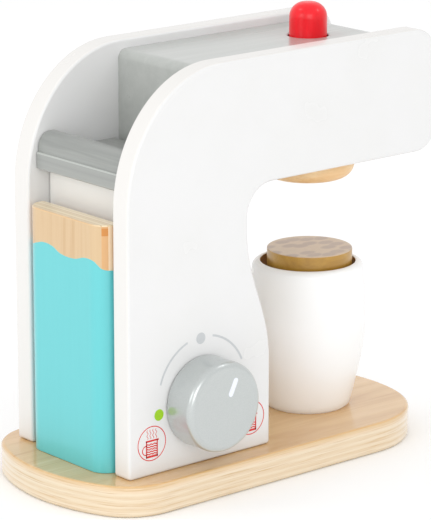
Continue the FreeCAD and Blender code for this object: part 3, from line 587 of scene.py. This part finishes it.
board_white = satin_white_lacquer("board_white_satin_lacquer", "#E3E3E3", "#E1E1E0", edge="#E4E2DF")
# The column is the boards' white lacquer drawn lighter: painted light that brightens it in its recess between
# the boards.
column_lit_white = satin_white_lacquer("column_white_satin_lacquer_painted_light", "#F0EFEC", "#EDECE8")
cup_white = satin_white_lacquer("cup_white_satin_lacquer", "#F5F5F5", "#F3F3F2", mouth="#B08B60")
arm_grey = grey_satin_paint("arm_grey_satin_paint", "X", "#B3B6B2", "#ACAFAB", 0.2)
# The lid's lighter edge colour is a painted highlight along its upper rear edge.
lid_grey = grey_satin_paint("lid_grey_satin_paint_painted_highlight", "Y", "#A3A5A1", "#8F928F", 0.4, wear_and_highlight="#B4B8B3")
# The grip is the lid's grey paint drawn a little darker: painted shade.
grip_shaded_grey = grey_satin_paint("grip_grey_satin_paint_painted_shade", "Y", "#999C98", "#868986", 0.4)
base_plywood = clear_lacquered_plywood("base_clear_lacquered_birch_plywood")
tank_plywood = half_painted_plywood("tank_half_painted_plywood")
head_beech = turned_beech("brew_head_turned_beech", "#F5D3A3", "#EDC48F", "#DDAD75")
dowel_beech = turned_beech("raw_beech_dowel", "#EBD2A8", "#E2C594", "#D2B07C")
pad_brown = stained_pad_wood("pad_stained_printed_wood")
button_red = red_gloss_lacquer("button_red_gloss_lacquer")
knob_silver = silver_grey_paint("knob_silver_grey_paint")
ink_grey = screen_ink("screen_ink_pale_grey", "#C5C8CA", "#C0C3C5")
ink_green = screen_ink("screen_ink_leaf_green", "#9ED01D", "#96C71A")
ink_red = screen_ink("screen_ink_red", "#DB261F", "#D01F19")
ink_white = screen_ink("screen_ink_white", "#EAEDF7", "#E5E8F2")
zinc = zinc_plated_steel("zinc_plated_steel")
felt = pressed_felt("pressed_grey_felt")


# Side boards

def swell(front, waist, y):
    """The front edge's line: upright at the foot's front, then drawn in to the waist."""
    return bend(spot(front, y, SWELL_HEIGHT), spot(front, y, SWELL_HEIGHT + SWELL_EASE),
                spot(waist, y, WAIST_HEIGHT - SWELL_EASE), spot(waist, y, WAIST_HEIGHT), 32)


def side_board(y):
    """A side board: foot, swelling front edge, arm and the large rear curve."""
    foot = [(spot(0, y, 0), FOOT_ROUND), (spot(FOOT_DEPTH, y, 0), FOOT_ROUND)]
    arm_edge = [(spot(WAIST_X, y, ARM_UNDERSIDE), ARMPIT_ROUND),
                (spot(ARM_REACH, y, ARM_UNDERSIDE), NOSE_LOW_ROUND),
                (spot(ARM_REACH, y, BOARD_HEIGHT), NOSE_TOP_ROUND)]
    crown = bend(spot(REAR_CURVE_DEPTH, y, BOARD_HEIGHT),
                 spot(REAR_CURVE_DEPTH * (1 - ROUND_HANDLE), y, BOARD_HEIGHT),
                 spot(0, y, BOARD_HEIGHT - REAR_CURVE_HEIGHT * (1 - ROUND_HANDLE)),
                 spot(0, y, BOARD_HEIGHT - REAR_CURVE_HEIGHT), 40)
    outline = foot + swell(FOOT_DEPTH, WAIST_X, y) + arm_edge + crown
    return board(face_of(outline), (0, OUTER_FACE - INNER_FACE, 0), BOARD_RIM)


for side, y, node in (("knob", -OUTER_FACE, "knob_side_panel"), ("plain", INNER_FACE, "plain_side_panel")):
    piece(side_board(y), f"{side}_side_board", board_white, "machine", [node])


# Base board

def half_end(bm, end_x, toward, arc, corner):
    """Half of one end of the base: a point swung round the flat arc, then round the corner."""
    corner_y = BASE_HALF - corner
    corner_x = math.sqrt((arc - corner) ** 2 - corner_y ** 2)
    lean = math.atan2(corner_y, corner_x)
    arc_x = end_x - toward * arc
    tip = bm.verts.new(spot(end_x, 0, 0))
    for centre, swing in ((spot(arc_x, 0, 0), lean),
                          (spot(arc_x + toward * corner_x, corner_y, 0), math.pi / 2 - lean)):
        swung = bmesh.ops.spin(bm, geom=[tip], cent=centre, axis=(0, 0, toward), angle=swing, steps=24,
                               use_merge=False, use_duplicate=False)
        tip = next(g for g in swung["geom_last"] if isinstance(g, bmesh.types.BMVert))
    return tip


def screw_hole(centre, head, shank, depth):
    """What a countersunk screw takes out of the wood over its head."""
    cone_top = SCREW_HEAD_SUNK + head - shank
    return turned([(0, -OVERRUN, 0), (head, -OVERRUN, 0), (head, SCREW_HEAD_SUNK, 0), (shank, cone_top, 0),
                   (shank, depth, 0), (0, depth, 0)], centre, steps=32)


base = bmesh.new()
base.edges.new((half_end(base, BASE_FRONT, 1, FRONT_ARC, FRONT_CORNER),
                half_end(base, BASE_REAR, -1, REAR_ARC, REAR_CORNER)))
bmesh.ops.mirror(base, geom=base.verts[:] + base.edges[:], matrix=Matrix(), merge_dist=0.001 * MM, axis="Y")
bmesh.ops.contextual_create(base, geom=base.edges[:])
base = board(base, (0, 0, -BASE_THICK), BASE_RIM)
for x in BASE_SCREWS_X:
    base = cut_out(base, screw_hole(spot(x, 0, -BASE_THICK), *BASE_SCREW))
piece(base, "base_plywood_board", base_plywood, "machine", ["base_board"])


# Blocks between the side boards

column_side = INNER_FACE - COLUMN_GAP
column_front, column_waist = FOOT_DEPTH - BLOCK_SET_IN, WAIST_X - BLOCK_SET_IN
column = ([(spot(COLUMN_REAR, -column_side, 0), 0), (spot(column_front, -column_side, 0), 0)]
          + swell(column_front, column_waist, -column_side)
          + [(spot(column_waist, -column_side, SEAM), 0), (spot(COLUMN_REAR, -column_side, SEAM), 0)])
column = board(face_of(column), (0, 2 * column_side, 0), COLUMN_RIM, segments=2)
well = board(face_of([(spot(x, y, WELL_FLOOR), WELL_CORNER)
                      for x, y in ((WELL_REAR, -WELL_HALF), (WELL_FRONT, -WELL_HALF),
                                   (WELL_FRONT, WELL_HALF), (WELL_REAR, WELL_HALF))]),
             (0, 0, SEAM - WELL_FLOOR + OVERRUN))
piece(cut_out(column, well), "white_column", column_lit_white, "machine", ["column_block"])

arm_side = INNER_FACE - ARM_GAP
arm = board(face_of([(spot(ARM_REAR, -arm_side, SEAM), 0),
                     (spot(ARM_NOSE, -arm_side, SEAM), ARM_NOSE_LOW_ROUND),
                     (spot(ARM_NOSE, -arm_side, ARM_TOP), ARM_NOSE_TOP_ROUND),
                     (spot(ARM_REAR, -arm_side, ARM_TOP), ARM_REAR_ROUND)]), (0, 2 * arm_side, 0))
hole_end = ARM_TOP - SEAM
bore = turned([(0, -OVERRUN, 0), (CHAMBER_RADIUS, -OVERRUN, 0), (CHAMBER_RADIUS, CHAMBER_HEIGHT, 0),
               (HOLE_RADIUS, CHAMBER_HEIGHT, 0), (HOLE_RADIUS, hole_end - 0.4, 0),
               (HOLE_MOUTH, hole_end + 0.1, 0), (HOLE_MOUTH, hole_end + OVERRUN, 0),
               (0, hole_end + OVERRUN, 0)], spot(HEAD_X, 0, SEAM), steps=96)
piece(cut_out(arm, bore), "grey_arm", arm_grey, "machine", ["arm_block"])


# Lid

lid_wide = (0, 2 * LID_HALF, 0)
lid = board(face_of([(spot(LID_REAR, -LID_HALF, LID_LOW), LID_LOW_ROUND),
                     (spot(LID_NOSE, -LID_HALF, LID_LOW), LID_NOSE_ROUND),
                     (spot(LID_NOSE, -LID_HALF, LID_TOP), LID_NOSE_ROUND),
                     (spot(LID_REAR, -LID_HALF, LID_TOP), LID_TOP_ROUND)]), lid_wide, LID_RIM)
piece(lid, "lid_plate", lid_grey, "lid", ["lid_board"])
grip = board(face_of([(spot(GRIP_REAR, -LID_HALF, LID_TOP), 0), (spot(GRIP_FRONT, -LID_HALF, LID_TOP), 0),
                      (spot(GRIP_FRONT, -LID_HALF, GRIP_TOP), GRIP_FRONT_ROUND),
                      (spot(GRIP_REAR, -LID_HALF, GRIP_TOP), GRIP_REAR_ROUND)]), lid_wide, GRIP_RIM)
piece(grip, "lid_grip_strip", grip_shaded_grey, "lid", ["lid_grip"])


# Water tank

tank_front = TANK_REAR + TANK_DEPTH
tank = board(face_of([(spot(TANK_REAR, -TANK_HALF, 0), TANK_REAR_ROUND),
                      (spot(tank_front, -TANK_HALF, 0), TANK_FRONT_ROUND),
                      (spot(tank_front, TANK_HALF, 0), TANK_FRONT_ROUND),
                      (spot(TANK_REAR, TANK_HALF, 0), TANK_REAR_ROUND)]), (0, 0, TANK_TOP), TANK_RIM)
piece(tank, "tank_block", tank_plywood, "tank", ["water_tank"])


# Brew head, button and spring

head = turned([(0, HEAD_LOW, 0), (HEAD_RADIUS, HEAD_LOW, HEAD_ROUND), (HEAD_RADIUS, SEAM, 0), (0, SEAM, 0)],
              spot(HEAD_X, 0, 0))
for y in HEAD_SCREWS_Y:
    head = cut_out(head, screw_hole(spot(HEAD_X, y, HEAD_SCREW_FOOT), *HEAD_SCREW))
piece(head, "brew_head_disc", head_beech, "machine", ["brew_head"])

push = turned([(0, STEM_LOW, 0), (STEM_RADIUS, STEM_LOW, 0.6), (STEM_RADIUS, COLLAR_LOW, 0),
               (COLLAR_RADIUS, COLLAR_LOW, 0.5), (COLLAR_RADIUS, COLLAR_TOP, 0.5),
               (BUTTON_RADIUS, COLLAR_TOP, 0), (BUTTON_RADIUS, BUTTON_TOP, BUTTON_DOME), (0, BUTTON_TOP, 0)],
              spot(HEAD_X, 0, 0))
piece(push, "red_push_button", button_red, "button", ["button"])


def coil():
    """The spring: a ring of the wire's section, screwed up round the stem from brew head to collar."""
    end = SPRING_WIRE + SPRING_END_GAP
    rise = COLLAR_LOW - SEAM - 2 * end
    steps = SPRING_TURNS * STEPS_A_TURN
    bm = bmesh.new()
    bmesh.ops.create_circle(bm, segments=10, radius=SPRING_WIRE * MM)
    bmesh.ops.rotate(bm, verts=bm.verts, cent=(0, 0, 0), matrix=Matrix.Rotation(math.pi / 2, 3, "X"))
    bmesh.ops.translate(bm, verts=bm.verts, vec=spot(HEAD_X + SPRING_RADIUS, 0, SEAM + end))
    bmesh.ops.spin(bm, geom=bm.verts[:] + bm.edges[:], cent=spot(HEAD_X, 0, 0), axis=(0, 0, 1),
                   dvec=(0, 0, rise * MM / steps), angle=SPRING_TURNS * math.tau, steps=steps,
                   use_merge=False, use_duplicate=False)
    bmesh.ops.holes_fill(bm, edges=bm.edges[:], sides=10)
    return bm


# In the toy the spring's top goes down with the button's collar; here it rides on the machine body, standing
# on the brew head, with a mesh of its own.
spring = piece(coil(), "coiled_button_spring", zinc, "machine", ["button_spring"])
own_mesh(spring)


# Knob

dial_front = KNOB_FRONT + INK
dial = turned([(0, KNOB_BACK, 0), (KNOB_RADIUS, KNOB_BACK, KNOB_BACK_ROUND),
               (KNOB_RADIUS, dial_front, KNOB_FRONT_ROUND), (0, dial_front, 0)],
              spot(KNOB_X, 0, KNOB_Z), axis="Y")
piece(dial, "silver_knob", knob_silver, "knob_unit", ["knob"])


# Cup and coffee pad

def barrel_side():
    """The cup's outside from foot to rim, as places of the half profile."""
    low = interpolate_bezier((18.8, 1.2), (21.9, 14.0), (CUP_BELLY, 27.5), (CUP_BELLY, 41.0), 18)
    high = interpolate_bezier((CUP_BELLY, 41.0), (CUP_BELLY, 49.0), (25.0, 55.0), (24.1, 61.2), 12)
    return [(p.x, p.y, 0) for p in low] + [(p.x, p.y, 0) for p in high[1:]]


cup = turned([(0, 0, 0), (CUP_FOOT, 0, 0)] + barrel_side() + [
    (23.9, CUP_TOP, 3.0), (CUP_MOUTH, CUP_TOP, 0.7), (CUP_MOUTH, CUP_SEAT, 0), (CUP_BORE, CUP_SEAT, 0),
    (CUP_BORE, CUP_FLOOR, 4), (0, CUP_FLOOR, 0)], spot(CUP_X, CUP_Y, 0), steps=160)
piece(cup, "white_cup", cup_white, "cup", ["cup"])
pad = turned([(0, CUP_SEAT, 0), (PAD_RADIUS, CUP_SEAT, 0.6), (PAD_RADIUS, PAD_TOP, 0.5), (0, PAD_TOP, 0)],
             spot(PAD_X, PAD_Y, 0))
piece(pad, "brown_coffee_pad", pad_brown, "pad", ["coffee_pad"])


# Printed marks on the knob's side board

PRINTED = -OUTER_FACE
# The ink reaches a little way into the face that it is printed on.
INK_DEPTH = (0, INK + 0.02, 0)


def ink_patch(corners, y=PRINTED):
    """A patch of ink with rounded corners, on a face that looks towards the viewer."""
    return board(face_of([(spot(x, y - INK, z), radius) for x, z, radius in corners]), INK_DEPTH)


def ink_disc(x, z, radius):
    """A round spot of ink."""
    bm = bmesh.new()
    bmesh.ops.create_circle(bm, cap_ends=True, segments=64, radius=radius * MM)
    bmesh.ops.rotate(bm, verts=bm.verts, cent=(0, 0, 0), matrix=Matrix.Rotation(math.pi / 2, 3, "X"))
    bmesh.ops.translate(bm, verts=bm.verts, vec=spot(x, PRINTED - INK, z))
    return board(bm, INK_DEPTH)


def ink_arc(x, z, radius, width, start, end):
    """A band of ink round a middle, from one angle to another, in degrees."""
    bm = bmesh.new()
    middle = spot(x, PRINTED - INK, z)
    turn = math.radians(start)
    out = Vector((math.cos(turn), 0, math.sin(turn)))
    ends = [bm.verts.new(middle + out * (radius + side * width / 2) * MM) for side in (-1, 1)]
    edge = bm.edges.new(ends)
    sweep = math.radians(end - start)
    bmesh.ops.spin(bm, geom=ends + [edge], cent=middle, axis=(0, -1, 0), angle=sweep,
                   steps=max(6, int(abs(sweep) * 24)), use_merge=abs(sweep) > 6.28, use_duplicate=False)
    return board(bm, INK_DEPTH)


def ink_ripple(x, z, length, width, sway, waves, upright=False):
    """A wavy line of ink, level or upright, from its middle."""
    bm = bmesh.new()
    bmesh.ops.create_grid(bm, x_segments=16 * waves, y_segments=1, size=1)
    middle = spot(x, PRINTED - INK, z)
    for vert in bm.verts:
        run = vert.co.x * length / 2
        rise = vert.co.y * width / 2 + sway * math.sin(math.pi * waves * (vert.co.x + 1))
        vert.co = middle + Vector((rise, 0, run) if upright else (run, 0, rise)) * MM
    return board(bm, INK_DEPTH)


def gathered(shapes):
    """Several shapes as one."""
    whole = bmesh.new()
    for shape in shapes:
        mesh = bpy.data.meshes.new("shape")
        shape.to_mesh(mesh)
        shape.free()
        whole.from_mesh(mesh)
        bpy.data.meshes.remove(mesh)
    return whole


def ink_box(left, right, low, high, radius=0):
    """An upright rectangle of ink."""
    return ink_patch([(left, low, radius), (right, low, radius), (right, high, radius), (left, high, radius)])


def mug_sign(x, z, lines, steam):
    """A plain mug in a ring, filled with so many wavy lines, and with so many lines of steam."""
    low, high = z - 5.8, z + 1.3
    ring, handle = ink_arc(x, z, 7.2, 0.38, 0, 360), ink_arc(x - 3.0, low + 3.3, 1.9, 0.42, 80, 280)
    walls = [ink_box(x + wall - 0.28, x + wall + 0.28, low, high) for wall in (-2.8, 2.8)]
    floor_and_rim = [ink_box(x - 3.1, x + 3.1, low - 0.1, low + 0.8, 0.1),
                     ink_box(x - 3.1, x + 3.6, high - 0.5, high + 0.25, 0.1)]
    filling = [ink_ripple(x, low + 1.45 + 1.02 * line, 5.4, 0.5, 0.16, 3) for line in range(lines)]
    wisps = [ink_ripple(x + 1.5 * (line - (steam - 1) / 2), z + 4.0, 4.0, 0.28, 0.3, 2, upright=True)
             for line in range(steam)]
    return [ring, handle] + walls + floor_and_rim + filling + wisps


grey_marks = [ink_arc(SCALE_X, SCALE_Z, SCALE_RADIUS, SCALE_WIDTH, 163.2, 109.9),
              ink_arc(SCALE_X, SCALE_Z, SCALE_RADIUS, SCALE_WIDTH, 76.5, 23.7),
              ink_disc(37.8, 53.2, DOT_RADIUS), ink_disc(61.0, 25.1, DOT_RADIUS)]
piece(gathered(grey_marks), "grey_scale_marks", ink_grey, "machine", crease=20)
piece(ink_disc(15.6, 25.1, DOT_RADIUS), "green_mark", ink_green, "machine", crease=20)
signs = mug_sign(11.8, 13.8, 5, 4) + mug_sign(64.8, 13.6, 3, 0)
piece(gathered(signs), "red_cup_signs", ink_red, "machine", crease=20)

turn = math.radians(POINTER_TURN)
out, aside = Vector((math.cos(turn), math.sin(turn))), Vector((-math.sin(turn), math.cos(turn)))
ends = [out * run + aside * side * POINTER_HALF
        for run, side in ((POINTER_START, -1), (POINTER_END, -1), (POINTER_END, 1), (POINTER_START, 1))]
pointer = ink_patch([(KNOB_X + end.x, KNOB_Z + end.y, POINTER_HALF - 0.01) for end in ends], dial_front)
piece(pointer, "knob_pointer_line", ink_white, "knob_unit", crease=20)


# Finishes of the plain inner pieces

for name, material in (("lid_pins", zinc), ("head_screws", zinc), ("base_screws", zinc), ("axle_clip", zinc),
                       ("knob_washer", felt), ("knob_axle", dowel_beech), ("column_dowels", dowel_beech),
                       ("arm_dowels", dowel_beech), ("base_dowels", dowel_beech)):
    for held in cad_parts[name].material_slots:
        held.material = material


# Floor, lights and camera

FLOOR_HALF = 6.0
LIT_POINT = (0, 0, 0.1)
WORLD_STRENGTH = 0.955
CAMERA_AZIMUTH, CAMERA_ELEVATION = math.radians(-40.431), math.radians(15.118)
CAMERA_AIM = spot(77.505, 0, 71.508)
CAMERA_DISTANCE = 1.280
FOCAL_PIXELS, PHOTO_HEIGHT_PIXELS = 3031.0, 520.0
SENSOR = 36.0

floor_shape = bmesh.new()
bmesh.ops.create_grid(floor_shape, x_segments=1, y_segments=1, size=FLOOR_HALF)
floor = scene_object(floor_shape, "floor")
floor.data.materials.append(paper_floor("matt_white_paper_floor"))


def softbox(name, place, size, watts):
    """A square soft light that looks at the toy."""
    light = bpy.data.lights.new(name, "AREA")
    light.size = size
    light.energy = watts
    lamp = bpy.data.objects.new(name, light)
    bpy.context.scene.collection.objects.link(lamp)
    lamp.location = place
    lamp.rotation_euler = (Vector(LIT_POINT) - Vector(place)).to_track_quat("-Z", "Y").to_euler()


softbox("key_softbox", (-0.8, -1.3, 0.6), 0.9, 4.9)
softbox("rear_softbox", (-1.3, -0.1, 0.6), 0.6, 2.0)
softbox("high_left_lamp", (-0.80, 0.60, 1.55), 0.3, 1.5)
softbox("high_right_lamp", (0.95, -0.83, 1.38), 0.3, 1.4)

world = bpy.data.worlds.new("white_studio")
bpy.context.scene.world = world
world.use_nodes = True
world.node_tree.nodes["Background"].inputs["Color"].default_value = (1, 1, 1, 1)
world.node_tree.nodes["Background"].inputs["Strength"].default_value = WORLD_STRENGTH
bpy.context.scene.view_settings.view_transform = "Standard"

camera = bpy.data.objects.new("camera", bpy.data.cameras.new("camera"))
bpy.context.scene.collection.objects.link(camera)
back = Vector((math.sin(CAMERA_AZIMUTH) * math.cos(CAMERA_ELEVATION),
               -math.cos(CAMERA_AZIMUTH) * math.cos(CAMERA_ELEVATION), math.sin(CAMERA_ELEVATION)))
camera.location = CAMERA_AIM + back * CAMERA_DISTANCE
camera.rotation_euler = (-back).to_track_quat("-Z", "Y").to_euler()
camera.data.sensor_width = SENSOR
camera.data.lens = FOCAL_PIXELS / PHOTO_HEIGHT_PIXELS * SENSOR
camera.data.clip_start, camera.data.clip_end = 0.05, 30.0
bpy.context.scene.camera = camera
